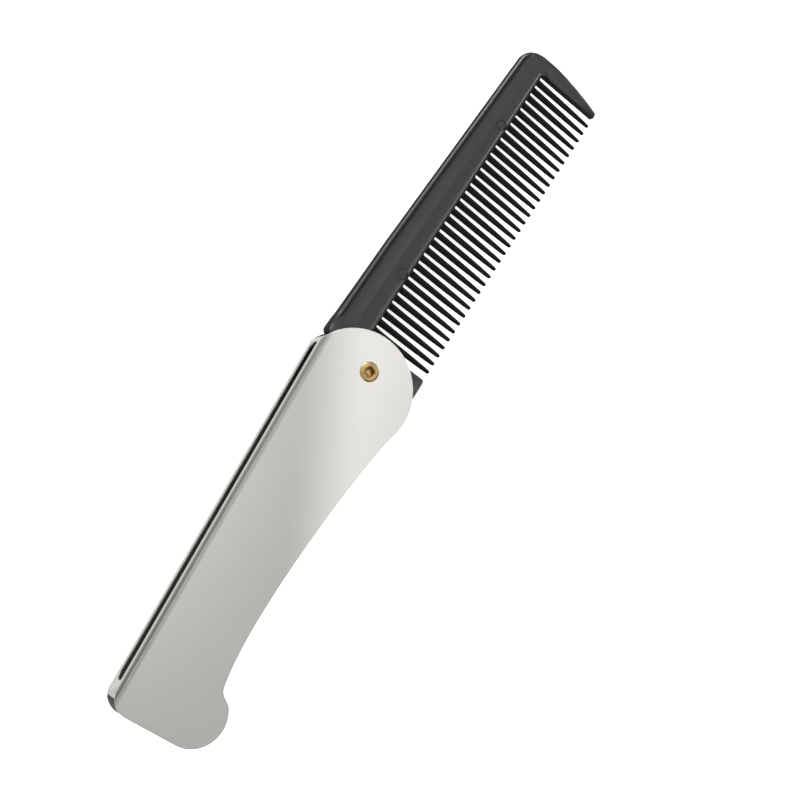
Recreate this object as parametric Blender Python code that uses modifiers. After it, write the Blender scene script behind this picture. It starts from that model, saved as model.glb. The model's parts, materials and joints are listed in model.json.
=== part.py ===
"""Folding comb: a moulded comb that swings into a folded sheet-steel handle on a brass rivet.

Run with: blender --background --python part.py

The part lies flat and open, +Z up, as it rests by itself. The comb points to +X with its teeth to -Y. The
handle runs to -X, folded along +Y and open to -Y. The hinge axis is vertical, through the rivet. The origin
is the centre of the underside of the whole part's box.
"""
import math

import bmesh
import bpy
from mathutils import Vector
from mathutils.geometry import interpolate_bezier

MM = 0.001

# Handle: one sheet, folded into two leaves. Plan sizes are measured from the hinge axis.
SHEET = 0.6 * MM
HANDLE_THICK = 8.0 * MM
FOLD_Y = 13.45 * MM
FOLD_RADIUS = 1.0 * MM
HEAD_CENTRE = Vector((-4.97, 0.58)) * MM
HEAD_RADIUS = 13.72 * MM
HEAD_RISE = 13.92 * MM
HEAD_TO_WAIST_DEG = -110.0
WAIST_END = Vector((-75.6, -6.75)) * MM
WAIST_END_SLOPE = 0.2
WAIST_HEAD_HANDLE = 6.0 * MM
WAIST_NECK_HANDLE = 17.0 * MM
BUTT_CENTRE = Vector((-82.98, -3.55)) * MM
BUTT_RADIUS = 7.69 * MM
NECK_TO_BUTT_DEG = -53.5
BUTT_CORNER_RADIUS = 4.5 * MM
SLOT_LOW = -1.5 * MM
SLOT_HIGH = 2.3 * MM
SLOT_LOW_CORNER = 1.9 * MM
SLOT_HIGH_CORNER = 0.5 * MM
SLOT_HEAD_END = -0.3 * MM
SLOT_BUTT_END = -84.5 * MM
LEAF_HOLE_RADIUS = 1.95 * MM

# Comb: +X runs from the hinge axis to the tip, and +Y to the spine, with the comb turned straight
OPEN_ANGLE_DEG = 3.86
TOOTH_PITCH = 2.3 * MM
TOOTH_COUNT = 33
FIRST_TOOTH_X = 9.55 * MM
ROOT_Y = 3.69 * MM
TOOTH_LENGTH = 16.77 * MM
TOOTH_SIDES = 8
HEEL_GAP_X = 7.12 * MM
HEEL_BOTTOM_Y = -13.17 * MM
HEEL_CORNER_RADIUS = 1.0 * MM
HEEL_BLOCK_X = 2.6 * MM
HEEL_SWING_RADIUS = 12.05 * MM
SHOULDER_X = 2.05 * MM
SHOULDER_CENTRE = Vector((3.5, 11.5)) * MM
SHOULDER_RADIUS = 1.5 * MM
SPINE_KINK = Vector((27.0, 12.63)) * MM
TIP_CORNER_CENTRE = Vector((84.7, 5.1)) * MM
TIP_CORNER_RADII = Vector((4.49, 5.57)) * MM
GUARD_TIP_CENTRE = Vector((86.2, -11.95)) * MM
GUARD_TIP_RADIUS = 0.85 * MM
GUARD_ROOT_X = 85.05 * MM
GUARD_ROOT_FILLET = 0.7 * MM
FLANK = 1.2 * MM
HEEL_FLANK = 2.0 * MM
ROOT_FLANK = 0.7 * MM
RIM_HALF_THICK = 0.8 * MM
PLATE_HALF_THICK = 1.0 * MM
EDGE_ROUND = 0.25 * MM
BOSS_RADIUS = 7.5 * MM
BOSS_THICK = 6.2 * MM
COMB_BORE_RADIUS = 2.05 * MM

# Thickness of the moulding along the comb: distance from the hinge axis, thickness
BODY_STATIONS = (
    (-13.0 * MM, 3.7 * MM),
    (3.8 * MM, 3.7 * MM),
    (17.6 * MM, 2.8 * MM),
    (30.0 * MM, 2.45 * MM),
    (90.0 * MM, 2.4 * MM),
)

# One tooth: distance from the root line as a share of its length, width, thickness
TOOTH_STATIONS = (
    (-0.07, 1.42 * MM, 1.78 * MM),
    (0.0, 1.40 * MM, 1.75 * MM),
    (0.45, 1.28 * MM, 1.20 * MM),
    (0.75, 1.06 * MM, 0.92 * MM),
    (0.97, 0.80 * MM, 0.78 * MM),
    (1.0, 0.42 * MM, 0.40 * MM),
)

# Rivet: a tube end rolled over on the upper leaf, a low head under the lower one
RIVET_SHANK_RADIUS = 1.75 * MM
RIVET_HOLE_RADIUS = 1.1 * MM
RIVET_HOLE_DEPTH = 1.6 * MM
RIM_RADIUS = 2.3 * MM
RIM_HEIGHT = 0.3 * MM
RIVET_HEAD_RADIUS = 2.7 * MM
RIVET_SEAT_GAP = 0.1 * MM
RIVET_STEPS = 32

# Cutters reach this far past what they cut
OVERCUT = 1.5 * MM
CIRCLE_STEP_DEG = 6.0
BORE_SIDES = 40
BOSS_SIDES = 48
WELD = 0.001 * MM


def clear_scene():
    """Remove whatever the file holds."""
    for obj in list(bpy.data.objects):
        bpy.data.objects.remove(obj)


def new_collection(name):
    """Collection under the scene's own."""
    collection = bpy.data.collections.new(name)
    bpy.context.scene.collection.children.link(collection)
    return collection


def new_material(name, colour, roughness, metallic):
    """Principled material with a linear colour."""
    material = bpy.data.materials.new(name)
    material.use_nodes = True
    shader = material.node_tree.nodes["Principled BSDF"]
    shader.inputs["Base Color"].default_value = (*colour, 1.0)
    shader.inputs["Roughness"].default_value = roughness
    shader.inputs["Metallic"].default_value = metallic
    return material


def arc(centre, radii, start_deg, end_deg):
    """Points along a round or elliptical arc, both ends included."""
    steps = max(2, round(abs(end_deg - start_deg) / CIRCLE_STEP_DEG))
    points = []
    for i in range(steps + 1):
        angle = math.radians(start_deg + (end_deg - start_deg) * i / steps)
        points.append(Vector((centre[0] + radii[0] * math.cos(angle), centre[1] + radii[1] * math.sin(angle))))
    return points


def bezier(start, start_handle, end_handle, end, steps):
    """Points along a cubic curve, both ends included."""
    return [point.to_2d() for point in interpolate_bezier(
        start.to_3d(), start_handle.to_3d(), end_handle.to_3d(), end.to_3d(), steps + 1)]


def without_repeats(points):
    """The outline with neighbouring points that coincide left out."""
    kept = [points[0]]
    for point in points[1:]:
        if (point - kept[-1]).length > 10 * WELD:
            kept.append(point)
    return kept


def plate_mesh(name, outline, half_thickness):
    """Closed plate with a flat outline, centred on z = 0."""
    curve = bpy.data.curves.new(name, "CURVE")
    curve.dimensions = "2D"
    curve.fill_mode = "BOTH"
    curve.extrude = half_thickness
    points = without_repeats(outline)
    spline = curve.splines.new("POLY")
    spline.points.add(len(points) - 1)
    spline.use_cyclic_u = True
    for spline_point, (x, y) in zip(spline.points, points):
        spline_point.co = (x, y, 0.0, 1.0)
    flat = bpy.data.objects.new(name, curve)
    bpy.context.scene.collection.objects.link(flat)
    graph = bpy.context.evaluated_depsgraph_get()
    mesh = bpy.data.meshes.new_from_object(flat.evaluated_get(graph))
    bpy.data.objects.remove(flat)
    bm = bmesh.new()
    bm.from_mesh(mesh)
    bmesh.ops.remove_doubles(bm, verts=bm.verts, dist=WELD)
    bmesh.ops.recalc_face_normals(bm, faces=bm.faces)
    for side in (1.0, -1.0):
        cap = [face for face in bm.faces if face.normal.z * side > 0.9]
        bmesh.ops.dissolve_faces(bm, faces=cap)
    bm.to_mesh(mesh)
    bm.free()
    return mesh


def cylinder_mesh(name, radius, length, sides):
    """Closed upright cylinder, centred on the origin."""
    mesh = bpy.data.meshes.new(name)
    bm = bmesh.new()
    bmesh.ops.create_cone(bm, cap_ends=True, segments=sides, radius1=radius, radius2=radius, depth=length)
    bm.to_mesh(mesh)
    bm.free()
    return mesh


def add_object(name, mesh, collection, parent):
    """Object in a collection, placed by its parent."""
    obj = bpy.data.objects.new(name, mesh)
    collection.objects.link(obj)
    obj.parent = parent
    return obj


def add_cutter(name, mesh, collection, parent):
    """Object that only shapes another one."""
    obj = add_object(name, mesh, collection, parent)
    obj.hide_render = True
    obj.display_type = "WIRE"
    return obj


def add_boolean(obj, operation, other):
    """Cut, join or intersect an object with another."""
    modifier = obj.modifiers.new(operation.lower(), "BOOLEAN")
    modifier.operation = operation
    modifier.solver = "EXACT"
    modifier.object = other


def handle_outline():
    """Plan of both leaves. Past the fold it runs on straight, so the fold itself sets the closed edge."""
    corner_deg = math.degrees(math.asin((FOLD_Y - HEAD_CENTRE.y) / HEAD_RISE))
    head = arc(HEAD_CENTRE, (HEAD_RADIUS, HEAD_RISE), corner_deg, 0.0)
    head += arc(HEAD_CENTRE, (HEAD_RADIUS, HEAD_RADIUS), 0.0, HEAD_TO_WAIST_DEG)

    leave = math.radians(HEAD_TO_WAIST_DEG)
    head_tangent = Vector((math.sin(leave), -math.cos(leave)))
    neck_tangent = Vector((-1.0, -WAIST_END_SLOPE)).normalized()
    waist = bezier(head[-1], head[-1] + WAIST_HEAD_HANDLE * head_tangent,
                   WAIST_END - WAIST_NECK_HANDLE * neck_tangent, WAIST_END, 24)

    butt = arc(BUTT_CENTRE, (BUTT_RADIUS, BUTT_RADIUS), NECK_TO_BUTT_DEG, -180.0)
    neck = bezier(WAIST_END, WAIST_END + Vector((-1.6, -0.35)) * MM,
                  butt[0] + Vector((0.8, 0.6)) * MM, butt[0], 6)

    corner_centre = (butt[-1].x + BUTT_CORNER_RADIUS, FOLD_Y - BUTT_CORNER_RADIUS)
    corner = arc(corner_centre, (BUTT_CORNER_RADIUS, BUTT_CORNER_RADIUS), 180.0, 90.0)
    past_fold = Vector((0.0, OVERCUT))
    return head + waist + neck + butt + corner + [corner[-1] + past_fold, head[0] + past_fold]


def fold_surface():
    """Middle surface of the folded sheet: leaf, bend, wall, bend, leaf."""
    bend_y = FOLD_Y - FOLD_RADIUS
    bend_z = HANDLE_THICK / 2 - FOLD_RADIUS
    bend_radii = (FOLD_RADIUS - SHEET / 2, FOLD_RADIUS - SHEET / 2)
    leaf_z = HANDLE_THICK / 2 - SHEET / 2
    open_y = HEAD_CENTRE.y - HEAD_RADIUS - OVERCUT
    half = [Vector((open_y, leaf_z))] + arc((bend_y, bend_z), bend_radii, 90.0, 0.0)
    section = half + [Vector((y, -z)) for y, z in reversed(half)]

    head_x = HEAD_CENTRE.x + HEAD_RADIUS + OVERCUT
    butt_x = BUTT_CENTRE.x - BUTT_RADIUS - OVERCUT
    mesh = bpy.data.meshes.new("handle_shell")
    bm = bmesh.new()
    verts = [bm.verts.new((butt_x, y, z)) for y, z in section]
    edges = [bm.edges.new(pair) for pair in zip(verts, verts[1:])]
    swept = bmesh.ops.extrude_edge_only(bm, edges=edges)["geom"]
    moved = [item for item in swept if isinstance(item, bmesh.types.BMVert)]
    bmesh.ops.translate(bm, verts=moved, vec=(head_x - butt_x, 0.0, 0.0))
    bm.to_mesh(mesh)
    bm.free()
    return mesh


def slot_outline():
    """Long slot with rounder corners below than above."""
    low_radii = (SLOT_LOW_CORNER, SLOT_LOW_CORNER)
    high_radii = (SLOT_HIGH_CORNER, SLOT_HIGH_CORNER)
    low_y = SLOT_LOW + SLOT_LOW_CORNER
    high_y = SLOT_HIGH - SLOT_HIGH_CORNER
    outline = arc((SLOT_HEAD_END - SLOT_LOW_CORNER, low_y), low_radii, -90.0, 0.0)
    outline += arc((SLOT_HEAD_END - SLOT_HIGH_CORNER, high_y), high_radii, 0.0, 90.0)
    outline += arc((SLOT_BUTT_END + SLOT_HIGH_CORNER, high_y), high_radii, 90.0, 180.0)
    outline += arc((SLOT_BUTT_END + SLOT_LOW_CORNER, low_y), low_radii, 180.0, 270.0)
    return outline


def make_handle(parts, cutters, frame):
    """Folded steel shell with its slot and rivet holes."""
    handle = add_object("handle_shell", fold_surface(), parts, frame)
    solidify = handle.modifiers.new("sheet", "SOLIDIFY")
    solidify.thickness = SHEET
    solidify.offset = 0.0
    solidify.use_even_offset = True

    blank = plate_mesh("handle_plan", handle_outline(), HANDLE_THICK / 2 + OVERCUT)
    add_boolean(handle, "INTERSECT", add_cutter("handle_plan", blank, cutters, frame))

    slot = add_cutter("fold_slot", plate_mesh("fold_slot", slot_outline(), SHEET / 2 + OVERCUT), cutters, frame)
    slot.location.y = FOLD_Y - SHEET / 2
    slot.rotation_euler.x = math.radians(90.0)
    add_boolean(handle, "DIFFERENCE", slot)

    hole = cylinder_mesh("leaf_holes", LEAF_HOLE_RADIUS, HANDLE_THICK + 2 * OVERCUT, BORE_SIDES)
    add_boolean(handle, "DIFFERENCE", add_cutter("leaf_holes", hole, cutters, frame))
    handle.data.materials.append(new_material("satin_steel", (0.62, 0.61, 0.58), 0.32, 1.0))
    return handle


def guard_inner_x(y):
    """Inner edge of the end guard, which leans out a little towards its tip."""
    tip_x = GUARD_TIP_CENTRE.x - GUARD_TIP_RADIUS
    share = (ROOT_Y - y) / (ROOT_Y - GUARD_TIP_CENTRE.y)
    return GUARD_ROOT_X + (tip_x - GUARD_ROOT_X) * share


def comb_outline():
    """Plan of spine, end guard and heel, without the teeth."""
    round_heel = (HEEL_SWING_RADIUS, HEEL_SWING_RADIUS)
    shoulder_deg = math.degrees(math.acos(SHOULDER_X / HEEL_SWING_RADIUS))
    heel = arc((0.0, 0.0), round_heel, shoulder_deg, 360.0 - shoulder_deg)

    heel_corner_centre = (HEEL_GAP_X - HEEL_CORNER_RADIUS, HEEL_BOTTOM_Y + HEEL_CORNER_RADIUS)
    block = [Vector((HEEL_BLOCK_X, HEEL_BOTTOM_Y))]
    block += arc(heel_corner_centre, (HEEL_CORNER_RADIUS, HEEL_CORNER_RADIUS), -90.0, 0.0)
    block.append(Vector((HEEL_GAP_X, ROOT_Y)))

    fillet_centre = (GUARD_ROOT_X - GUARD_ROOT_FILLET, ROOT_Y - GUARD_ROOT_FILLET)
    guard = arc(fillet_centre, (GUARD_ROOT_FILLET, GUARD_ROOT_FILLET), 90.0, 0.0)
    guard += arc(GUARD_TIP_CENTRE, (GUARD_TIP_RADIUS, GUARD_TIP_RADIUS), 180.0, 345.0)
    tip_corner = arc(TIP_CORNER_CENTRE, TIP_CORNER_RADII, 0.0, 90.0)
    guard += bezier(guard[-1], guard[-1] + Vector((1.25, 5.0)) * MM,
                    tip_corner[0] - Vector((0.0, 5.5)) * MM, tip_corner[0], 10)
    shoulder = arc(SHOULDER_CENTRE, (SHOULDER_RADIUS, SHOULDER_RADIUS), 90.0, 156.0)
    return heel + block + guard + tip_corner + [SPINE_KINK] + shoulder


def body_half_thickness(x, y):
    """Half the moulding's thickness, lower along the rims that face the teeth and the slot."""
    half = BODY_STATIONS[-1][1] / 2
    for (x0, thick0), (x1, thick1) in zip(BODY_STATIONS, BODY_STATIONS[1:]):
        if x0 <= x < x1:
            half = (thick0 + (thick1 - thick0) * (x - x0) / (x1 - x0)) / 2
    off_teeth = max((HEEL_GAP_X - x) / FLANK, (x - guard_inner_x(y)) / FLANK, (y - ROOT_Y) / ROOT_FLANK)
    off_slot = (y - HEEL_BOTTOM_Y) / HEEL_FLANK
    share = min(1.0, max(0.0, min(off_teeth, off_slot)))
    return RIM_HALF_THICK + (half - RIM_HALF_THICK) * share


def body_mesh():
    """Spine, guard and heel as one plate whose faces follow the thickness table and the rims."""
    mesh = plate_mesh("comb", comb_outline(), PLATE_HALF_THICK)
    guard_lean = Vector((guard_inner_x(HEEL_BOTTOM_Y) - guard_inner_x(ROOT_Y), HEEL_BOTTOM_Y - ROOT_Y, 0.0))
    guard_normal = Vector((-guard_lean.y, guard_lean.x, 0.0))
    creases = [((x, 0.0, 0.0), (1.0, 0.0, 0.0)) for x, _ in BODY_STATIONS[1:-1]]
    creases.append(((HEEL_GAP_X - FLANK, 0.0, 0.0), (1.0, 0.0, 0.0)))
    creases.append(((guard_inner_x(ROOT_Y) + FLANK, ROOT_Y, 0.0), guard_normal))
    creases.append(((0.0, ROOT_Y + ROOT_FLANK, 0.0), (0.0, 1.0, 0.0)))
    creases.append(((0.0, HEEL_BOTTOM_Y + HEEL_FLANK, 0.0), (0.0, 1.0, 0.0)))
    bm = bmesh.new()
    bm.from_mesh(mesh)
    rim = [edge for edge in bm.edges if abs(edge.verts[0].co.z - edge.verts[1].co.z) < WELD]
    bmesh.ops.bevel(bm, geom=rim, offset=EDGE_ROUND, offset_type="OFFSET", segments=2, profile=0.5,
                    affect="EDGES", material=-1, clamp_overlap=False)
    for point, normal in creases:
        geometry = bm.verts[:] + bm.edges[:] + bm.faces[:]
        bmesh.ops.bisect_plane(bm, geom=geometry, plane_co=point, plane_no=normal, dist=WELD)
    for vert in bm.verts:
        vert.co.z *= body_half_thickness(vert.co.x, vert.co.y) / PLATE_HALF_THICK
    bmesh.ops.triangulate(bm, faces=bm.faces)
    bm.to_mesh(mesh)
    bm.free()
    return mesh


def tooth_mesh():
    """One tapered tooth with an oval section, root up and tip towards -Y."""
    mesh = bpy.data.meshes.new("teeth")
    bm = bmesh.new()
    bmesh.ops.create_circle(bm, cap_ends=True, segments=TOOTH_SIDES, radius=0.5)
    end = bm.faces[:]
    ring = bm.verts[:]
    for station, (share, width, thickness) in enumerate(TOOTH_STATIONS):
        if station > 0:
            grown = bmesh.ops.extrude_face_region(bm, geom=end)["geom"]
            if station > 1:
                bmesh.ops.delete(bm, geom=end, context="FACES_ONLY")
            end = [item for item in grown if isinstance(item, bmesh.types.BMFace)]
            ring = [item for item in grown if isinstance(item, bmesh.types.BMVert)]
        for i, vert in enumerate(ring):
            angle = math.tau * i / TOOTH_SIDES
            vert.co = (width / 2 * math.cos(angle), -share * TOOTH_LENGTH, thickness / 2 * math.sin(angle))
    bmesh.ops.recalc_face_normals(bm, faces=bm.faces)
    bm.to_mesh(mesh)
    bm.free()
    mesh.shade_smooth()
    return mesh


def make_comb(parts, cutters, hinge):
    """Moulded comb: body with rounded edges, teeth, heel boss and rivet bore."""
    comb = add_object("comb", body_mesh(), parts, hinge)
    teeth = add_cutter("teeth", tooth_mesh(), cutters, hinge)
    teeth.location = (FIRST_TOOTH_X, ROOT_Y, 0.0)
    row = teeth.modifiers.new("row", "ARRAY")
    row.count = TOOTH_COUNT
    row.use_relative_offset = False
    row.use_constant_offset = True
    row.constant_offset_displace = (TOOTH_PITCH, 0.0, 0.0)
    row.use_merge_vertices = False
    add_boolean(comb, "UNION", teeth)

    boss = cylinder_mesh("heel_boss", BOSS_RADIUS, BOSS_THICK, BOSS_SIDES)
    add_boolean(comb, "UNION", add_cutter("heel_boss", boss, cutters, hinge))
    bore = cylinder_mesh("comb_bore", COMB_BORE_RADIUS, BOSS_THICK + 2 * OVERCUT, BORE_SIDES)
    add_boolean(comb, "DIFFERENCE", add_cutter("comb_bore", bore, cutters, hinge))
    comb.data.materials.append(new_material("black_plastic", (0.02, 0.02, 0.022), 0.38, 0.0))
    return comb


def rivet_profile():
    """Half section from the bottom of the hollow end, over the rolled rim and down to the low head."""
    seat = HANDLE_THICK / 2 + RIVET_SEAT_GAP
    top = seat + RIM_HEIGHT
    crown = (RIVET_HOLE_RADIUS + RIM_RADIUS) / 2
    round_over = RIM_RADIUS - crown
    profile = [(0.0, top - RIVET_HOLE_DEPTH), (RIVET_HOLE_RADIUS, top - RIVET_HOLE_DEPTH)]
    profile += [tuple(point) for point in arc((crown, seat), (round_over, RIM_HEIGHT), 180.0, 0.0)][::5]
    profile += [(RIVET_SHANK_RADIUS, seat), (RIVET_SHANK_RADIUS, -seat)]
    profile += [(RIVET_HEAD_RADIUS, -seat), (RIVET_HEAD_RADIUS - RIM_HEIGHT, -top), (0.0, -top)]
    return profile


def make_rivet(parts, frame):
    """Brass rivet through both leaves and the comb's heel."""
    mesh = bpy.data.meshes.new("pivot_rivet")
    bm = bmesh.new()
    verts = [bm.verts.new((radius, 0.0, z)) for radius, z in rivet_profile()]
    for pair in zip(verts, verts[1:]):
        bm.edges.new(pair)
    bm.to_mesh(mesh)
    bm.free()
    rivet = add_object("pivot_rivet", mesh, parts, frame)
    screw = rivet.modifiers.new("turned", "SCREW")
    screw.steps = RIVET_STEPS
    screw.render_steps = RIVET_STEPS
    screw.use_merge_vertices = True
    screw.merge_threshold = WELD
    screw.use_smooth_shade = True
    rivet.data.materials.append(new_material("rivet_brass", (0.70, 0.50, 0.22), 0.28, 1.0))
    return rivet


def stand_on_base_centre(frame, parts):
    """Move the whole part so that the origin is the centre of its underside."""
    bpy.context.view_layer.update()
    graph = bpy.context.evaluated_depsgraph_get()
    corners = []
    for obj in parts:
        shaped = obj.evaluated_get(graph)
        corners += [shaped.matrix_world @ vert.co for vert in shaped.data.vertices]
    low = Vector(min(corner[i] for corner in corners) for i in range(3))
    high = Vector(max(corner[i] for corner in corners) for i in range(3))
    frame.location = (-(low.x + high.x) / 2, -(low.y + high.y) / 2, -low.z)
    bpy.context.view_layer.update()


def main():
    """Build the three pieces on their hinge."""
    clear_scene()
    parts = new_collection("folding_comb")
    cutters = new_collection("cutters")
    frame = add_object("handle_frame", None, parts, None)
    hinge = add_object("hinge_axis", None, parts, frame)
    hinge.rotation_euler.z = math.radians(-OPEN_ANGLE_DEG)
    pieces = [make_handle(parts, cutters, frame), make_comb(parts, cutters, hinge), make_rivet(parts, frame)]
    stand_on_base_centre(frame, pieces)


main()
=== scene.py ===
import json
import math
import bmesh
import bpy
from mathutils import Matrix, Vector
from mathutils.geometry import interpolate_bezier, intersect_point_line


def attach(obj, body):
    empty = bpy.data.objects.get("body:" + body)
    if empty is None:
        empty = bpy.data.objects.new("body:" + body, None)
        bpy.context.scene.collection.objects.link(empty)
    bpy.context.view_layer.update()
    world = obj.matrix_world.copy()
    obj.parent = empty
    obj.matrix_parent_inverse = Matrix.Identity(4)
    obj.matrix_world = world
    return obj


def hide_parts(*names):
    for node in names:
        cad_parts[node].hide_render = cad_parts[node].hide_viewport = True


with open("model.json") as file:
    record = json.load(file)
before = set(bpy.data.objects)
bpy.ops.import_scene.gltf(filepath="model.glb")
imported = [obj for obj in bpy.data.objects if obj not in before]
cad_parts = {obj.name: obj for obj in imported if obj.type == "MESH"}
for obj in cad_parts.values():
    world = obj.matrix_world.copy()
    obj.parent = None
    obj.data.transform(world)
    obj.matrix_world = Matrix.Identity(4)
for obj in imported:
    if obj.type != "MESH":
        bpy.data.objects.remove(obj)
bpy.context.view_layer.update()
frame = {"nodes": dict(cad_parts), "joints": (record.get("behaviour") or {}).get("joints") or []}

# Camera: the open comb is seen from above its spine side, so that it runs up to the right. The long lens
# stands about 35 cm away.
CAMERA_PLACE = (-0.08035, 0.10073, 0.32399)
CAMERA_TURN_DEG = (2.109, -22.893, -58.943)
CAMERA_LENS = 68.65
CAMERA_SENSOR = 36.0
CAMERA_NEAREST = 0.01

camera_lens = bpy.data.cameras.new("camera")
camera_lens.lens = CAMERA_LENS
camera_lens.sensor_width = CAMERA_SENSOR
camera_lens.clip_start = CAMERA_NEAREST
camera = bpy.data.objects.new("camera", camera_lens)
camera.location = CAMERA_PLACE
camera.rotation_euler = [math.radians(turn) for turn in CAMERA_TURN_DEG]
bpy.context.scene.collection.objects.link(camera)
bpy.context.scene.camera = camera


# Handle: one 0.6 mm stainless sheet, blanked, slotted along the fold and bent into two leaves. Its blanked
# edges are tumbled round, and its satin finish is the fine grain that the rolls leave.
MM = 0.001
SHEET_EDGE_ROUND = 0.16 * MM
SHEET_FLAT_DEG = 1.0
SHEET_SHARP_DEG = 40.0
# Points nearer than this are one point
WELD = 0.002 * MM
STEEL_TONE = "#E2E0DC"
STEEL_SHADE = "#D8D6D2"
STEEL_IN_PAINTED_SHADE = "#A9A9A6"
STEEL_PAINTED_DARK_REFLECTION = "#6D6B68"
STEEL_CLOUD = 14.0 * MM
# Rolled grain is some 0.03 mm wide, and is drawn four times as coarse so that it shows
STEEL_GRAIN = 0.12 * MM
STEEL_GRAIN_LENGTHS = 4.0
STEEL_GRAIN_HEIGHT = 0.01 * MM
STEEL_ROUGHNESS = (0.27, 0.40)
# Where the painted shade and the painted dark reflection set in, as distances along Y, which runs towards the
# fold
PAINTED_SHADE_FROM, PAINTED_SHADE_TO = 0.3 * MM, 20.3 * MM
PAINTED_SHADE_SLANT = 0.45
PAINTED_BEND_FROM, PAINTED_BEND_TO = 14.2 * MM, 15.4 * MM
PAINTED_WALL_FROM, PAINTED_WALL_TO = 15.5 * MM, 15.95 * MM
PAINTED_WALL_SHARE = 0.5


def from_hex(tone):
    """Linear colour of an sRGB hex value."""
    channels = [int(tone[i:i + 2], 16) / 255 for i in (1, 3, 5)]
    return [c / 12.92 if c <= 0.04045 else ((c + 0.055) / 1.055) ** 2.4 for c in channels] + [1.0]


def add_node(material, kind, settings=None, **links):
    """Shader node with its settings, and with its inputs set to values or linked to outputs.

    An input is named in words with _ between them, or as i and its number where names repeat.
    """
    node = material.node_tree.nodes.new(kind)
    for name, value in (settings or {}).items():
        setattr(node, name, value)
    for name, value in links.items():
        socket = node.inputs[int(name[1:])] if name[1:].isdigit() else node.inputs[name.replace("_", " ")]
        if isinstance(value, bpy.types.NodeSocket):
            material.node_tree.links.new(value, socket)
        else:
            socket.default_value = value
    return node


def finish_piece(name, bm, material, body, smooth_deg):
    """Object at the origin from a finished bmesh, with its finish and the body it moves with."""
    mesh = bpy.data.meshes.new(name)
    bm.to_mesh(mesh)
    bm.free()
    mesh.shade_smooth()
    mesh.set_sharp_from_angle(angle=math.radians(smooth_deg))
    mesh.materials.append(material)
    piece = bpy.data.objects.new(name, mesh)
    bpy.context.scene.collection.objects.link(piece)
    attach(piece, body)
    return piece


# Satin rolled stainless steel mirrors its surroundings as soft broad gleams, over a tone that is clouded
satin_steel = bpy.data.materials.new("satin_rolled_stainless_steel")
satin_steel.use_nodes = True
steel = satin_steel.node_tree.nodes["Principled BSDF"]
steel.inputs["Metallic"].default_value = 1.0
steel_place = add_node(satin_steel, "ShaderNodeTexCoord").outputs["Object"]
# Soft clouds in the tone, as a tumbled sheet has
clouds = add_node(satin_steel, "ShaderNodeTexNoise", Vector=steel_place, Scale=1.0 / STEEL_CLOUD, Detail=3.0)
steel_tone = add_node(satin_steel, "ShaderNodeMix", {"data_type": "RGBA"}, Factor=clouds.outputs["Fac"],
                      i6=from_hex(STEEL_SHADE), i7=from_hex(STEEL_TONE))
# Painted shade: the tone darkens slowly towards the fold and the butt, where the sheet lies in shade
steel_axes = add_node(satin_steel, "ShaderNodeSeparateXYZ", Vector=steel_place)
slant = add_node(satin_steel, "ShaderNodeMath", {"operation": "MULTIPLY"}, i0=steel_axes.outputs["X"],
                 i1=PAINTED_SHADE_SLANT)
towards_fold = add_node(satin_steel, "ShaderNodeMath", {"operation": "SUBTRACT"}, i0=steel_axes.outputs["Y"],
                        i1=slant.outputs["Value"])
painted_shade_share = add_node(satin_steel, "ShaderNodeMapRange", {"interpolation_type": "SMOOTHSTEP"},
                  Value=towards_fold.outputs["Value"], From_Min=PAINTED_SHADE_FROM, From_Max=PAINTED_SHADE_TO)
painted_shade_tone = add_node(satin_steel, "ShaderNodeMix", {"data_type": "RGBA"}, Factor=painted_shade_share.outputs["Result"],
                     i6=steel_tone.outputs[2], i7=from_hex(STEEL_IN_PAINTED_SHADE))
# Painted reflection: the bend is painted darker still, for the dark surroundings that it mirrors, and the
# fold's outer wall is painted only half as dark, for the bright table that it mirrors
painted_bend = add_node(satin_steel, "ShaderNodeMapRange", Value=steel_axes.outputs["Y"], From_Min=PAINTED_BEND_FROM,
                   From_Max=PAINTED_BEND_TO)
painted_wall = add_node(satin_steel, "ShaderNodeMapRange", Value=steel_axes.outputs["Y"], From_Min=PAINTED_WALL_FROM,
                   From_Max=PAINTED_WALL_TO, To_Min=1.0, To_Max=PAINTED_WALL_SHARE)
painted_reflection_share = add_node(satin_steel, "ShaderNodeMath", {"operation": "MULTIPLY"}, i0=painted_bend.outputs["Result"],
                      i1=painted_wall.outputs["Result"])
painted_reflection_tone = add_node(satin_steel, "ShaderNodeMix", {"data_type": "RGBA"}, Factor=painted_reflection_share.outputs["Value"],
                     i6=painted_shade_tone.outputs[2], i7=from_hex(STEEL_PAINTED_DARK_REFLECTION))
satin_steel.node_tree.links.new(painted_reflection_tone.outputs[2], steel.inputs["Base Color"])
# Rolled grain runs along the handle
grain_place = add_node(satin_steel, "ShaderNodeMapping", Vector=steel_place,
                       Scale=(1.0 / STEEL_GRAIN_LENGTHS, 1.0, 1.0))
grain = add_node(satin_steel, "ShaderNodeTexNoise", Vector=grain_place.outputs["Vector"],
                 Scale=1.0 / STEEL_GRAIN, Detail=2.0)
roughness = add_node(satin_steel, "ShaderNodeMapRange", Value=grain.outputs["Fac"],
                     To_Min=STEEL_ROUGHNESS[0], To_Max=STEEL_ROUGHNESS[1])
satin_steel.node_tree.links.new(roughness.outputs["Result"], steel.inputs["Roughness"])
grain_bump = add_node(satin_steel, "ShaderNodeBump", Strength=0.12, Distance=STEEL_GRAIN_HEIGHT,
                      Height=grain.outputs["Fac"])
satin_steel.node_tree.links.new(grain_bump.outputs["Normal"], steel.inputs["Normal"])

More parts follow.
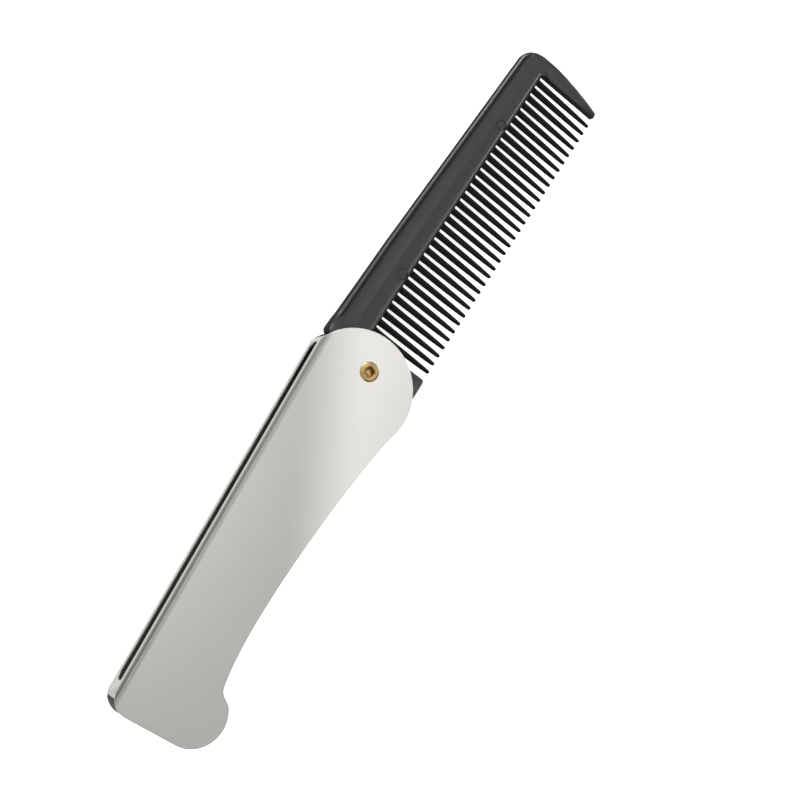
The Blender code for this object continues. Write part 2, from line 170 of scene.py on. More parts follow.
shell = bmesh.new()
shell.from_mesh(frame["nodes"]["handle_shell"].data)
bmesh.ops.remove_doubles(shell, verts=shell.verts, dist=WELD)
bmesh.ops.dissolve_limit(shell, angle_limit=math.radians(SHEET_FLAT_DEG), verts=shell.verts,
                         edges=shell.edges)
blanked_edges = [edge for edge in shell.edges if edge.calc_face_angle(0.0) > math.radians(SHEET_SHARP_DEG)]
bmesh.ops.bevel(shell, geom=blanked_edges, offset=SHEET_EDGE_ROUND, offset_type="OFFSET", segments=3,
                profile=0.5, affect="EDGES", material=-1, clamp_overlap=False)
handle = finish_piece("folded_steel_handle", shell, satin_steel, "handle", smooth_deg=35.0)
flat_shading = handle.modifiers.new("flat_leaves", "WEIGHTED_NORMAL")
flat_shading.keep_sharp = True
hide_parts("handle_shell")


# Rivet: turned brass tube through both leaves. Its upper end is rolled over into a rim round a blind hole,
# and its lower end is a low head. Handling has dulled the rim.
def in_mm(*stations):
    """Table of pairs of lengths that are given in millimetres."""
    return tuple((at * MM, value * MM) for at, value in stations)


# Its profile from the middle of the hole outwards and down: radius, height over the handle's middle plane
HOLE_FLOOR = in_mm((0.0, 3.7), (0.35, 3.68), (0.65, 3.6), (0.9, 3.45))
RIM = in_mm((1.1, 3.35), (1.1, 4.05), (1.13, 4.25), (1.2, 4.36), (1.28, 4.40), (1.38, 4.385), (1.46, 4.33),
            (1.52, 4.31), (1.58, 4.33), (1.68, 4.37), (1.8, 4.375), (1.92, 4.34), (2.08, 4.24), (2.22, 4.12),
            (2.3, 4.02))
SHANK = in_mm((1.75, 4.0), (1.75, -4.0))
LOWER_HEAD = in_mm((2.55, -4.02), (2.65, -4.1), (2.5, -4.3), (2.15, -4.38), (0.0, -4.38))
RIVET_STEPS = 64
BRASS_TONE = "#BCA06E"
BRASS_DARK = "#8C744A"
BRASS_CLOUD = 1.1 * MM
BRASS_ROUGHNESS = (0.32, 0.5)

hinge = Vector(frame["joints"][0]["pos_m"])

# Turned brass that handling has dulled has a warm soft gleam, broken by brown patches of tarnish
worn_brass = bpy.data.materials.new("turned_brass_dulled_by_handling")
worn_brass.use_nodes = True
brass = worn_brass.node_tree.nodes["Principled BSDF"]
brass.inputs["Metallic"].default_value = 1.0
brass_place = add_node(worn_brass, "ShaderNodeTexCoord").outputs["Object"]
tarnish = add_node(worn_brass, "ShaderNodeTexNoise", Vector=brass_place, Scale=1.0 / BRASS_CLOUD, Detail=4.0)
tarnish_share = add_node(worn_brass, "ShaderNodeMapRange", Value=tarnish.outputs["Fac"], From_Min=0.35,
                         From_Max=0.75)
brass_tone = add_node(worn_brass, "ShaderNodeMix", {"data_type": "RGBA"},
                      Factor=tarnish_share.outputs["Result"], i6=from_hex(BRASS_TONE),
                      i7=from_hex(BRASS_DARK))
worn_brass.node_tree.links.new(brass_tone.outputs[2], brass.inputs["Base Color"])
brass_roughness = add_node(worn_brass, "ShaderNodeMapRange", Value=tarnish.outputs["Fac"],
                           To_Min=BRASS_ROUGHNESS[0], To_Max=BRASS_ROUGHNESS[1])
worn_brass.node_tree.links.new(brass_roughness.outputs["Result"], brass.inputs["Roughness"])


def draw_to(bm, last, x, y, z):
    """Extend a line of vertices to a point and return its new end."""
    grown = bmesh.ops.extrude_vert_indiv(bm, verts=[last])["verts"][0]
    grown.co = (x, y, z)
    return grown


def draw_profile(bm, profile):
    """Line of vertices through a profile's radii and heights, of which it returns both ends."""
    start = last = bm.verts.new((profile[0][0], 0.0, profile[0][1]))
    for radius, height in profile[1:]:
        last = draw_to(bm, last, radius, 0.0, height)
    return start, last


rivet_mesh = bmesh.new()
draw_profile(rivet_mesh, HOLE_FLOOR + RIM + SHANK + LOWER_HEAD)
bmesh.ops.spin(rivet_mesh, geom=rivet_mesh.verts[:] + rivet_mesh.edges[:], cent=(0, 0, 0), axis=(0, 0, 1),
               dvec=(0, 0, 0), angle=math.tau, steps=RIVET_STEPS, use_merge=True, use_duplicate=False)
bmesh.ops.remove_doubles(rivet_mesh, verts=rivet_mesh.verts, dist=WELD)
bmesh.ops.recalc_face_normals(rivet_mesh, faces=rivet_mesh.faces)
bmesh.ops.translate(rivet_mesh, verts=rivet_mesh.verts, vec=hinge)
rivet = finish_piece("hollow_brass_rivet", rivet_mesh, worn_brass, "handle", smooth_deg=40.0)
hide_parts("pivot_rivet")


# Comb: one moulding of black ABS with a satin skin. A narrow bead runs along the spine, the face behind it is
# a little hollow, a soft ridge stands over the roots of the teeth, and two ejector pins have left flat discs.
# It is drawn straight along X from the rivet, and turned to the open comb's angle at the end.
TOOTH_PITCH = 2.3 * MM
TOOTH_COUNT = 33
FIRST_TOOTH = 9.55 * MM
ROOT = 3.69 * MM
GAP_ROUND = 0.45 * MM
TOOTH_TIP = -13.15 * MM
TOOTH_TIP_ROUND = 0.46 * MM
# Half widths of a tooth at distances along the comb's height
TOOTH_SIDES = in_mm((3.24, 0.72), (-2.0, 0.70), (-5.0, 0.71), (-8.0, 0.66), (-11.0, 0.57))
TOOTH_SIDES += ((TOOTH_TIP + TOOTH_TIP_ROUND, TOOTH_TIP_ROUND),)
HEEL_FRONT = 7.12 * MM
HEEL_LOW = -13.17 * MM
HEEL_CORNER = 1.2 * MM
HEEL_BACK = 2.2 * MM
HEEL_INSIDE = 6.5 * MM
GUARD_ROOT = 85.05 * MM
GUARD_FILLET = 0.7 * MM
GUARD_TIP = Vector((86.2, -12.05, 0.0)) * MM
GUARD_TIP_ROUND = 0.85 * MM
GUARD_TIP_CORNER = 0.35 * MM
GUARD_TIP_TURN_DEG = 75.0
# Pulls on the two ends of the guard's back
GUARD_BACK_LOW = Vector((1.25, 5.0, 0.0)) * MM
GUARD_BACK_HIGH = Vector((0.12, -5.5, 0.0)) * MM
GUARD_STEPS = 24
TIP_CENTRE = Vector((84.7, 5.1, 0.0)) * MM
TIP_RADII = Vector((4.6, 5.57, 0.0)) * MM
TIP_STEPS = 24
SPINE_LEVELS = in_mm((3.5, 13.0), (27.0, 12.63), (84.7, 10.67))
SHOULDER_ROUND = 1.5 * MM
SHOULDER_TURN_DEG = 66.0
HALF_PLATE = 1.0 * MM
RIM_ROUND = 0.22 * MM
SHORT_OF_STRAIGHT_DEG = 3.86
ABS_TONE = "#111213"
ABS_IOR = 1.54
# The texture of the mould is about 0.1 mm wide, and is drawn at 0.15 mm so that it shows
ABS_SKIN = 0.15 * MM
ABS_SKIN_HEIGHT = 0.01 * MM
ABS_FLOW_LINE = 0.4 * MM
ABS_FLOW_LINE_LENGTHS = 20.0
ABS_FLOW_LINE_HEIGHT = 0.03 * MM
# Where they set in along X
ABS_FLOW_LINE_FROM, ABS_FLOW_LINE_TO = 84.0 * MM, 86.5 * MM
ABS_FLOW_CLOUD = 8.0 * MM
ABS_ROUGHNESS = (0.28, 0.38)
ABS_ROUGHNESS_UNPOLISHED = 0.8
ABS_SHINE = 0.5
ABS_SHINE_UNPOLISHED = 0.1

# Satin moulded black ABS is near black, with a weak broad sheen on its faces and none on its unpolished sides
black_abs = bpy.data.materials.new("satin_moulded_black_abs")
black_abs.use_nodes = True
abs_skin = black_abs.node_tree.nodes["Principled BSDF"]
abs_skin.inputs["IOR"].default_value = ABS_IOR
abs_skin.inputs["Base Color"].default_value = from_hex(ABS_TONE)
abs_place = add_node(black_abs, "ShaderNodeTexCoord").outputs["Object"]
skin = add_node(black_abs, "ShaderNodeTexNoise", Vector=abs_place, Scale=1.0 / ABS_SKIN, Detail=2.0)
skin_bump = add_node(black_abs, "ShaderNodeBump", Strength=0.10, Distance=ABS_SKIN_HEIGHT,
                     Height=skin.outputs["Fac"])
# Fine flow lines run down the end guard
guard_place = add_node(black_abs, "ShaderNodeMapping", Vector=abs_place,
                       Scale=(1.0, 1.0 / ABS_FLOW_LINE_LENGTHS, 1.0))
flow_lines = add_node(black_abs, "ShaderNodeTexNoise", Vector=guard_place.outputs["Vector"],
                      Scale=1.0 / ABS_FLOW_LINE, Detail=2.0)
abs_axes = add_node(black_abs, "ShaderNodeSeparateXYZ", Vector=abs_place)
on_guard = add_node(black_abs, "ShaderNodeMapRange", Value=abs_axes.outputs["X"],
                    From_Min=ABS_FLOW_LINE_FROM, From_Max=ABS_FLOW_LINE_TO, To_Max=0.5)
line_bump = add_node(black_abs, "ShaderNodeBump", Strength=on_guard.outputs["Result"],
                     Distance=ABS_FLOW_LINE_HEIGHT, Height=flow_lines.outputs["Fac"],
                     Normal=skin_bump.outputs["Normal"])
black_abs.node_tree.links.new(line_bump.outputs["Normal"], abs_skin.inputs["Normal"])
# Faint flow clouds make the gloss uneven
flow = add_node(black_abs, "ShaderNodeTexNoise", Vector=abs_place, Scale=1.0 / ABS_FLOW_CLOUD, Detail=3.0)
abs_gloss = add_node(black_abs, "ShaderNodeMapRange", Value=flow.outputs["Fac"], To_Min=ABS_ROUGHNESS[0],
                     To_Max=ABS_ROUGHNESS[1])
# The upright sides are matt and the teeth nearly so: the mould is spark-eroded there and not polished
side = add_node(black_abs, "ShaderNodeAttribute", {"attribute_name": "unpolished"}).outputs["Fac"]
side_gloss = add_node(black_abs, "ShaderNodeMix", Factor=side, i2=abs_gloss.outputs["Result"],
                      i3=ABS_ROUGHNESS_UNPOLISHED)
black_abs.node_tree.links.new(side_gloss.outputs[0], abs_skin.inputs["Roughness"])
side_shine = add_node(black_abs, "ShaderNodeMapRange", Value=side, To_Min=ABS_SHINE,
                      To_Max=ABS_SHINE_UNPOLISHED)
black_abs.node_tree.links.new(side_shine.outputs["Result"], abs_skin.inputs["Specular IOR Level"])


def draw_arc(bm, last, centre, axis, degrees, steps):
    """Extend a line of vertices round a centre and return its new end."""
    swept = bmesh.ops.spin(bm, geom=[last], cent=centre, axis=axis, dvec=(0, 0, 0),
                           angle=math.radians(degrees), steps=steps, use_merge=False, use_duplicate=False)
    return [item for item in swept["geom_last"] if isinstance(item, bmesh.types.BMVert)][0]


comb_mesh = bmesh.new()
comb_start = end = comb_mesh.verts.new((HEEL_BACK, HEEL_LOW, -HALF_PLATE))


def comb_line(x, y):
    """Draw the comb's outline on from its end to a point."""
    return draw_to(comb_mesh, end, x, y, -HALF_PLATE)


def comb_arc(x, y, degrees, steps):
    """Draw the comb's outline on from its end round a centre, to the left for positive degrees."""
    return draw_arc(comb_mesh, end, (x, y, -HALF_PLATE), (0, 0, 1), degrees, steps)


# Heel block
end = comb_line(HEEL_FRONT - HEEL_CORNER, HEEL_LOW)
end = comb_arc(HEEL_FRONT - HEEL_CORNER, HEEL_LOW + HEEL_CORNER, 90.0, 8)
end = comb_line(HEEL_FRONT, ROOT - GAP_ROUND)
end = comb_arc(HEEL_FRONT + GAP_ROUND, ROOT - GAP_ROUND, -90.0, 4)
first_side = FIRST_TOOTH - TOOTH_SIDES[0][1]
end = comb_line(first_side - GAP_ROUND, ROOT)
end = comb_arc(first_side - GAP_ROUND, ROOT - GAP_ROUND, -90.0, 4)
# Teeth
for tooth in range(TOOTH_COUNT):
    middle = FIRST_TOOTH + tooth * TOOTH_PITCH
    for level, half_width in TOOTH_SIDES[1:]:
        end = comb_line(middle - half_width, level)
    end = comb_arc(middle, TOOTH_TIP + TOOTH_TIP_ROUND, 180.0, 8)
    for level, half_width in reversed(TOOTH_SIDES[:-1]):
        end = comb_line(middle + half_width, level)
    if tooth < TOOTH_COUNT - 1:
        end = comb_arc(middle + TOOTH_PITCH / 2, ROOT - GAP_ROUND, -180.0, 8)
end = comb_arc(middle + TOOTH_SIDES[0][1] + GAP_ROUND, ROOT - GAP_ROUND, -90.0, 4)
# End guard, from its root down to its tip and up its back
end = comb_line(GUARD_ROOT - GUARD_FILLET, ROOT)
end = comb_arc(GUARD_ROOT - GUARD_FILLET, ROOT - GUARD_FILLET, -90.0, 5)
guard_side = GUARD_TIP.x - GUARD_TIP_ROUND
guard_low = GUARD_TIP.y - GUARD_TIP_ROUND
end = comb_line(guard_side, GUARD_TIP.y)
end = comb_line(guard_side, guard_low + GUARD_TIP_CORNER)
end = comb_arc(guard_side + GUARD_TIP_CORNER, guard_low + GUARD_TIP_CORNER, 90.0, 5)
outer_edge_start = len(comb_mesh.verts)
end = comb_line(GUARD_TIP.x, guard_low)
end = comb_arc(GUARD_TIP.x, GUARD_TIP.y, GUARD_TIP_TURN_DEG, 7)
tip_start = TIP_CENTRE + Vector((TIP_RADII.x, 0.0, -HALF_PLATE))
guard_back = interpolate_bezier(end.co, end.co + GUARD_BACK_LOW, tip_start + GUARD_BACK_HIGH, tip_start,
                                GUARD_STEPS + 1)
for point in guard_back[1:]:
    end = comb_line(point.x, point.y)
for step in range(1, TIP_STEPS + 1):
    turn = math.radians(90.0 * step / TIP_STEPS)
    end = comb_line(TIP_CENTRE.x + TIP_RADII.x * math.cos(turn), TIP_CENTRE.y + TIP_RADII.y * math.sin(turn))
outer_edge = [vert.co.to_2d() for vert in comb_mesh.verts][outer_edge_start:]
# Spine, shoulder and the round of the heel inside the handle
for x, y in reversed(SPINE_LEVELS[:-1]):
    end = comb_line(x, y)
end = comb_arc(SPINE_LEVELS[0][0], SPINE_LEVELS[0][1] - SHOULDER_ROUND, SHOULDER_TURN_DEG, 8)
top_turn = math.degrees(math.acos(end.co.x / HEEL_INSIDE))
low_turn = math.degrees(math.acos(HEEL_BACK / HEEL_INSIDE))
end = comb_line(end.co.x, HEEL_INSIDE * math.sin(math.radians(top_turn)))
end = comb_arc(0.0, 0.0, -(top_turn + low_turn), 12)
comb_mesh.edges.new((end, comb_start))
outline = bmesh.ops.contextual_create(comb_mesh, geom=comb_mesh.edges[:])["faces"]
upper = bmesh.ops.extrude_face_region(comb_mesh, geom=outline)["geom"]
bmesh.ops.translate(comb_mesh, verts=[v for v in upper if isinstance(v, bmesh.types.BMVert)],
                    vec=(0, 0, 2 * HALF_PLATE))
bmesh.ops.recalc_face_normals(comb_mesh, faces=comb_mesh.faces)
rim = [edge for edge in comb_mesh.edges if abs(edge.verts[0].co.z - edge.verts[1].co.z) < WELD]
bmesh.ops.bevel(comb_mesh, geom=rim, offset=RIM_ROUND, offset_type="OFFSET", segments=3, profile=0.5,
                affect="EDGES", material=-1, clamp_overlap=False)

# Half thickness at distances from the rivet along the body, and down the teeth to their roots
BODY_THICKNESS = in_mm((-13.0, 1.85), (3.8, 1.85), (17.6, 1.4), (30.0, 1.225), (95.0, 1.2))
TOOTH_THICKNESS = in_mm((-14.0, 0.40), (-12.6, 0.42), (-8.9, 0.46), (-3.9, 0.60)) + ((ROOT, 0.875 * MM),)
TOOTH_SLOPE = 0.6
TOOTH_START = 0.1 * MM
# Relief of the body: depth under its full face at distances in from an edge
BEAD = in_mm((0.0, 0.62), (0.03, 0.54), (0.11, 0.37), (0.22, 0.28), (0.34, 0.184), (0.45, 0.106), (0.6, 0.03),
             (0.72, 0.0), (0.82, 0.015), (0.95, 0.085), (1.08, 0.17), (1.2, 0.22), (1.4, 0.25))
BEAD_CREST = 0.72 * MM
BEAD_END_DEG = 15.0
BEAD_FADE_DEG = 45.0
RIDGE = in_mm((0.0, 0.36), (0.15, 0.16), (0.28, 0.05), (0.42, 0.0), (0.7, 0.01), (0.78, 0.05), (0.86, 0.13),
              (0.94, 0.185), (1.04, 0.21), (1.5, 0.217), (2.2, 0.221), (2.5, 0.222))
PANEL_DEPTH = RIDGE[-1][1]
PANEL_CREASE = in_mm((14.0, 8.1), (74.0, 6.95))
PANEL_TILT = 0.055
PANEL_TROUGH = 2.7 * MM
PANEL_REACH = 1.2 * PANEL_TROUGH
GUARD_MARGIN = 0.1 * MM
GUARD_FADE = 1.8 * MM
GUARD_FLANK = 1.1 * MM
GUARD_FLANK_DEPTH = 0.25 * MM
# The heel block's foot is thin, because it stands in the handle's slot when the comb is shut
HEEL_EDGE = in_mm((0.0, 0.45), (0.12, 0.27), (0.45, 0.05), (0.55, 0.0))
HEEL_FOOT = in_mm((0.0, 0.98), (0.38, 0.55), (0.6, 0.12), (0.7, 0.0))
HEEL_SHELF = in_mm((0.75, 0.0), (1.05, 0.21), (1.2, 0.24), (4.0, 0.32))
HEEL_SHELF_TOP = ROOT + 1.7 * MM
PIN_MARKS = (Vector((23.87, 5.39)) * MM, Vector((68.08, 5.44)) * MM)
PIN_RADIUS = 1.29 * MM
PIN_SIDES = 16
PIN_STEP = 0.02 * MM
PIN_GROOVE = 0.12 * MM
PIN_GROOVE_RADIUS = 1.2 * MM
PIN_GROOVE_HALF_WIDTH = 0.05 * MM


def along(table, x):
    """Value of a table between its stations."""
    for (x0, y0), (x1, y1) in zip(table, table[1:]):
        if x <= x1:
            return y0 + (y1 - y0) * max(0.0, x - x0) / (x1 - x0)
    return table[-1][1]


def guard_inside(y):
    """Inner edge of the end guard."""
    share = min(1.0, (ROOT - y) / (ROOT - GUARD_TIP.y))
    return GUARD_ROOT + (guard_side - GUARD_ROOT) * share


def from_outer_edge(x, y):
    """Distance in from the edge that runs from the guard's tip round the corner and along the spine."""
    if x <= TIP_CENTRE.x:
        return along(SPINE_LEVELS, x) - y
    point = Vector((x, y))
    nearest = 1.0
    for start, stop in zip(outer_edge, outer_edge[1:]):
        share = intersect_point_line(point, start, stop)[1]
        nearest = min(nearest, (point - start.lerp(stop, min(1.0, max(0.0, share)))).length)
    return nearest


def bead_share(x, y):
    """How much of the bead's inner groove stands at a point: all along the spine, none down the guard."""
    over, beyond = max(0.0, y - TIP_CENTRE.y), max(0.0, x - TIP_CENTRE.x)
    turn = math.degrees(math.atan2(over / TIP_RADII.y, beyond / TIP_RADII.x))
    return min(1.0, max(0.0, (turn - BEAD_END_DEG) / BEAD_FADE_DEG))


def tooth_half_thickness(full, x, y):
    """Half thickness of a tooth, which is roof-shaped and meets the body's edge at its root."""
    beside = abs((x - FIRST_TOOTH + TOOTH_PITCH / 2) % TOOTH_PITCH - TOOTH_PITCH / 2)
    root_step = full - RIDGE[0][1] - TOOTH_THICKNESS[-1][1]
    fall = TOOTH_SLOPE * beside * min(1.0, (ROOT - y) / TOOTH_START)
    return along(TOOTH_THICKNESS, y) + root_step * max(0.0, 1.0 - (ROOT - y) / ROOT) - fall


def heel_half_thickness(full, x, y):
    """Half thickness of the heel block, with its thin foot and the shelf over it."""
    if y > HEEL_SHELF_TOP:
        return full
    from_low = y - HEEL_LOW
    foot = max(along(HEEL_EDGE, HEEL_FRONT - x), along(HEEL_FOOT, from_low))
    return full - foot - along(HEEL_SHELF, from_low)


def comb_half_thickness(x, y):
    """Half thickness of the moulding at a point of its plan."""
    full = along(BODY_THICKNESS, x)
    if y < ROOT and HEEL_FRONT < x < guard_inside(y) - GUARD_MARGIN:
        return tooth_half_thickness(full, x, y)
    if x < HEEL_FRONT:
        return heel_half_thickness(full, x, y)
    # Ridge over the roots, which gives way to a flank down the guard
    from_guard = max(0.0, x - guard_inside(y) + GUARD_FILLET)
    from_teeth = math.hypot(from_guard, max(0.0, y - ROOT + GUARD_FILLET)) - GUARD_FILLET
    down_guard = min(1.0, max(0.0, (ROOT - y) / GUARD_FADE))
    depth = along(RIDGE, from_teeth) * (1.0 - down_guard)
    depth += GUARD_FLANK_DEPTH * max(0.0, 1.0 - from_teeth / GUARD_FLANK) * down_guard
    # Hollow of the panel, from its crease to the bead
    inwards, bead = from_outer_edge(x, y), bead_share(x, y)
    above_crease = min(y - along(PANEL_CREASE, x), PANEL_REACH)
    if above_crease > 0.0 and bead > 0.0:
        depth += bead * PANEL_TILT * (above_crease - above_crease ** 3 / (3 * PANEL_TROUGH ** 2))
    # Bead along the spine, and a plain round down the guard
    if inwards < BEAD[-1][0]:
        past_crest = max(0.0, (inwards - BEAD_CREST) / (BEAD[-1][0] - BEAD_CREST))
        beaded = along(BEAD, inwards) + (depth - BEAD[-1][1]) * past_crest
        plain = depth + along(BEAD, inwards) if inwards < BEAD_CREST else depth
        depth = bead * beaded + (1.0 - bead) * plain
    for mark in PIN_MARKS:
        from_pin = (Vector((x, y)) - mark).length
        if from_pin < PIN_RADIUS:
            in_groove = abs(from_pin - PIN_GROOVE_RADIUS) < PIN_GROOVE_HALF_WIDTH
            depth = PANEL_DEPTH - PIN_STEP + PIN_GROOVE * in_groove
    return full - depth


def cut_rows(point, direction, near=None, reach=0.0):
    """Cut the comb along an upright plane, to give its shape a row of points there."""
    faces = comb_mesh.faces[:]
    if near is not None:
        near = near.to_2d()
        faces = [face for face in faces if (face.calc_center_median().to_2d() - near).length < reach]
    edges = {edge for face in faces for edge in face.edges}
    verts = {vert for face in faces for vert in face.verts}
    bmesh.ops.bisect_plane(comb_mesh, geom=list(verts) + list(edges) + faces, plane_co=point,
                           plane_no=direction, dist=WELD)


# Along the middles of the teeth and gaps, down the guard, across the teeth, and along the ridge
for step in range(-4, 2 * TOOTH_COUNT + 3):
    cut_rows((FIRST_TOOTH + step * TOOTH_PITCH / 2, 0, 0), (1, 0, 0))
for x in (85.2, 85.8, 86.4, 87.0, 87.6, 88.2, 88.8):
    cut_rows((x * MM, 0, 0), (1, 0, 0))
for y in (-12.7, -11.0, -8.9, -6.4, -3.9, -1.4, 1.1, 2.3, 3.24, 3.59):
    cut_rows((0, y * MM, 0), (0, 1, 0))
for station, _ in RIDGE:
    cut_rows((0, ROOT + station, 0), (0, 1, 0))
# Along the panel's crease and its hollow
crease_lean = PANEL_CREASE[0][1] - PANEL_CREASE[1][1]
crease_run = PANEL_CREASE[1][0] - PANEL_CREASE[0][0]
for rise in (-0.25, 0.0, 0.25, 0.9, 1.6, 2.2):
    cut_rows((PANEL_CREASE[0][0], PANEL_CREASE[0][1] + rise * MM, 0), (crease_lean, crease_run, 0))
# Along the bead, on each side of the bend in the spine
SPINE_REACH = 100 * MM
for side_of_bend, (x0, y0), (x1, y1) in ((-1, *SPINE_LEVELS[:2]), (1, *SPINE_LEVELS[1:])):
    spine_middle = Vector((SPINE_LEVELS[1][0] + side_of_bend * SPINE_REACH, y0, 0))
    for inwards, _ in BEAD[4:] + in_mm((1.9, 0.0), (2.5, 0.0)):
        cut_rows((x0, y0 - inwards, 0), (y0 - y1, x1 - x0, 0), near=spine_middle, reach=SPINE_REACH)
# Along the heel block's foot, shelf and front
heel_foot = Vector((HEEL_FRONT / 2, HEEL_LOW, 0))
for inwards, _ in HEEL_FOOT[1:] + HEEL_SHELF[:3]:
    cut_rows((0, HEEL_LOW + inwards, 0), (0, 1, 0), near=heel_foot, reach=4.2 * MM)
heel_front = Vector((HEEL_FRONT, -9.0 * MM, 0))
for inwards, _ in HEEL_EDGE[1:]:
    cut_rows((HEEL_FRONT - inwards, 0, 0), (1, 0, 0), near=heel_front, reach=5.0 * MM)
# Down the guard's inner side
guard_foot = Vector((GUARD_TIP.x, -4.0 * MM, 0))
guard_lean = GUARD_ROOT - guard_inside(GUARD_TIP.y)
for inwards, _ in RIDGE[1:8]:
    cut_rows((GUARD_ROOT + inwards, ROOT, 0), (ROOT - GUARD_TIP.y, guard_lean, 0), near=guard_foot,
             reach=10 * MM)
# Round the tip, inside its edge
for inwards, _ in BEAD[4::2]:
    for degrees in range(90, 10, -8):
        turn = math.radians(degrees)
        outwards = Vector((math.cos(turn) * TIP_RADII.y, math.sin(turn) * TIP_RADII.x, 0)).normalized()
        on_edge = TIP_CENTRE + Vector((TIP_RADII.x * math.cos(turn), TIP_RADII.y * math.sin(turn), 0))
        in_bead = on_edge - outwards * inwards
        cut_rows(in_bead, outwards, near=in_bead, reach=1.2 * MM)
# Round the fillet between the last gap and the guard
fillet_centre = Vector((GUARD_ROOT - GUARD_FILLET, ROOT - GUARD_FILLET, 0))
for degrees in range(180, 280, 10):
    turn = math.radians(degrees)
    outwards = Vector((-math.cos(turn), -math.sin(turn), 0))
    for beyond_fillet, _ in RIDGE[2:8]:
        on_ridge = fillet_centre + (GUARD_FILLET + beyond_fillet) * outwards
        cut_rows(on_ridge, outwards, near=on_ridge, reach=1.0 * MM)
# Round the ejector-pin discs and the grooves about them
for mark in PIN_MARKS:
    for radius in (1.1 * MM, PIN_GROOVE_RADIUS, PIN_RADIUS, 1.37 * MM):
        for step in range(PIN_SIDES):
            turn = math.tau * step / PIN_SIDES
            outwards = Vector((math.cos(turn), math.sin(turn), 0.0))
            cut_rows(mark.to_3d() + radius * outwards, outwards, near=mark.to_3d(), reach=2.4 * MM)
for vert in comb_mesh.verts:
    vert.co.z *= comb_half_thickness(vert.co.x, vert.co.y) / HALF_PLATE
bmesh.ops.triangulate(comb_mesh, faces=comb_mesh.faces)

# How unpolished each face is: wholly where it stands upright, and nearly so on the teeth
UPRIGHT_NORMAL = 0.62
UNPOLISHED_TOOTH = 0.9
unpolished = comb_mesh.faces.layers.float.new("unpolished")
for face in comb_mesh.faces:
    place = face.calc_center_median()
    on_tooth = place.y < ROOT and HEEL_FRONT < place.x < guard_inside(place.y)
    face[unpolished] = 1.0 if abs(face.normal.z) < UPRIGHT_NORMAL else UNPOLISHED_TOOTH * on_tooth
open_turn = Matrix.Translation(hinge) @ Matrix.Rotation(math.radians(-SHORT_OF_STRAIGHT_DEG), 4, "Z")
bmesh.ops.transform(comb_mesh, matrix=open_turn, verts=comb_mesh.verts)
comb = finish_piece("moulded_comb", comb_mesh, black_abs, "comb", smooth_deg=50.0)
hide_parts("comb")


# Heel: the part of the same moulding that turns on the rivet inside the handle. A thick boss round its bore
# fills the space between the leaves, and a thinner disc closes the pivot end behind it.
BORE_RADIUS = 2.05 * MM
BOSS_RADIUS = 7.5 * MM
BOSS_HALF = 3.1 * MM
BOSS_CHAMFER = 0.15 * MM
BOSS_STEPS = 72
HEEL_DISC_RADIUS = 12.05 * MM
HEEL_DISC_HALF = 1.84 * MM
HEEL_DISC_INSIDE = BOSS_RADIUS - 1.0 * MM
HEEL_DISC_FROM_DEG = 72.0
HEEL_DISC_TO_DEG = 290.0
HEEL_DISC_STEPS = 44

boss = bmesh.new()
boss_rim, boss_half = BOSS_RADIUS - BOSS_CHAMFER, BOSS_HALF - BOSS_CHAMFER
boss_start, boss_end = draw_profile(boss, (
    (BORE_RADIUS, -BOSS_HALF), (boss_rim, -BOSS_HALF), (BOSS_RADIUS, -boss_half),
    (BOSS_RADIUS, boss_half), (boss_rim, BOSS_HALF), (BORE_RADIUS, BOSS_HALF)))
boss.edges.new((boss_end, boss_start))
bmesh.ops.spin(boss, geom=boss.verts[:] + boss.edges[:], cent=(0, 0, 0), axis=(0, 0, 1), dvec=(0, 0, 0),
               angle=math.tau, steps=BOSS_STEPS, use_merge=True, use_duplicate=False)
disc_rim, disc_half = HEEL_DISC_RADIUS - RIM_ROUND, HEEL_DISC_HALF - RIM_ROUND
draw_profile(boss, (
    (HEEL_DISC_INSIDE, -HEEL_DISC_HALF), (disc_rim, -HEEL_DISC_HALF), (HEEL_DISC_RADIUS, -disc_half),
    (HEEL_DISC_RADIUS, disc_half), (disc_rim, HEEL_DISC_HALF), (HEEL_DISC_INSIDE, HEEL_DISC_HALF)))
# Only the disc's profile still has points with fewer than three edges
disc_verts = [vert for vert in boss.verts if len(vert.link_edges) < 3]
disc_faces = bmesh.ops.contextual_create(boss, geom=disc_verts)["faces"]
disc_edges = list({edge for face in disc_faces for edge in face.edges})
bmesh.ops.rotate(boss, verts=disc_verts, cent=(0, 0, 0),
                 matrix=Matrix.Rotation(math.radians(HEEL_DISC_FROM_DEG), 3, "Z"))
bmesh.ops.spin(boss, geom=disc_faces + disc_edges + disc_verts, cent=(0, 0, 0), axis=(0, 0, 1),
               dvec=(0, 0, 0), angle=math.radians(HEEL_DISC_TO_DEG - HEEL_DISC_FROM_DEG),
               steps=HEEL_DISC_STEPS, use_merge=False, use_duplicate=False)
bmesh.ops.remove_doubles(boss, verts=boss.verts, dist=WELD)
bmesh.ops.recalc_face_normals(boss, faces=boss.faces)
bmesh.ops.transform(boss, matrix=open_turn, verts=boss.verts)
finish_piece("comb_heel_boss", boss, black_abs, "comb", smooth_deg=40.0)


# Table and studio: a white translucent table top, lit a little from below, so that shadows stay faint. Two
# softboxes stand beyond the spine to the right and one hangs overhead, with weaker fills on the other sides.
TABLE_SIZE = 12.0
TABLE_TONE = "#F4F4F3"
TABLE_ROUGHNESS = 0.85
TABLE_GLOW = 0.75
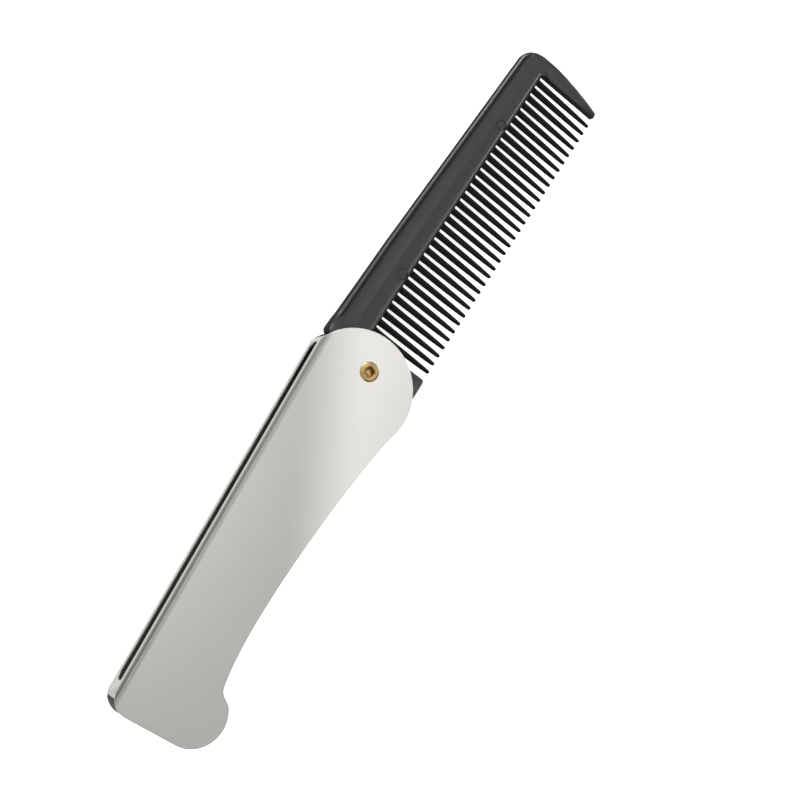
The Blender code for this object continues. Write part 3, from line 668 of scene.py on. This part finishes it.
# Direction towards each light, and its strength
SOFT_LIGHTS = (((0.61, 0.67, 0.43), 1.37), ((0.74, 0.39, 0.55), 0.77), ((0.12, 0.0, 0.99), 0.69),
               ((-0.08, -0.64, 0.76), 0.62), ((-0.97, 0.12, 0.21), 0.35), ((0.73, -0.56, 0.40), 0.56),
               ((0.59, -0.13, 0.79), 0.15), ((0.23, 0.60, 0.77), 0.30), ((0.45, -0.30, 0.84), 0.07))
SOFT_LIGHT_WIDTH_DEG = 22.0
# A white wall stands to the left of the spine and beyond, and the rest of the room is dim
TOWARDS_WALL = (-0.52, 0.83, 0.21)
WALL_EDGE = (0.3, 0.8)
ROOM_STRENGTH = (0.14, 0.75)

bpy.ops.mesh.primitive_plane_add(size=TABLE_SIZE, location=(0, 0, 0))
table = bpy.context.active_object
table.name = "table_top"
# Matt opal acrylic lit from below is an even white that shows no gleam
table_paint = bpy.data.materials.new("matt_opal_acrylic_lit_from_below")
table_paint.use_nodes = True
table_skin = table_paint.node_tree.nodes["Principled BSDF"]
table_skin.inputs["Base Color"].default_value = from_hex(TABLE_TONE)
table_skin.inputs["Roughness"].default_value = TABLE_ROUGHNESS
table_skin.inputs["Emission Color"].default_value = (1.0, 1.0, 1.0, 1.0)
table_skin.inputs["Emission Strength"].default_value = TABLE_GLOW
table.data.materials.append(table_paint)

for number, (towards, strength) in enumerate(SOFT_LIGHTS):
    lamp = bpy.data.lights.new(f"soft_light_{number}", "SUN")
    lamp.angle = math.radians(SOFT_LIGHT_WIDTH_DEG)
    lamp.energy = strength
    light = bpy.data.objects.new(lamp.name, lamp)
    light.location = Vector(towards)
    light.rotation_euler = Vector(towards).to_track_quat("Z", "Y").to_euler()
    bpy.context.scene.collection.objects.link(light)
room = bpy.data.worlds.new("studio")
room.use_nodes = True
towards_wall = add_node(room, "ShaderNodeVectorMath", {"operation": "DOT_PRODUCT"},
                        i0=add_node(room, "ShaderNodeTexCoord").outputs["Generated"], i1=TOWARDS_WALL)
room_light = add_node(room, "ShaderNodeMapRange", {"interpolation_type": "SMOOTHSTEP"},
                      Value=towards_wall.outputs["Value"], From_Min=WALL_EDGE[0], From_Max=WALL_EDGE[1],
                      To_Min=ROOM_STRENGTH[0], To_Max=ROOM_STRENGTH[1])
room_background = room.node_tree.nodes["Background"]
room_background.inputs["Color"].default_value = (1.0, 1.0, 1.0, 1.0)
room.node_tree.links.new(room_light.outputs["Result"], room_background.inputs["Strength"])
bpy.context.scene.world = room

# Colours are shown as they are lit, so that the table stays white
bpy.context.scene.view_settings.view_transform = "Standard"
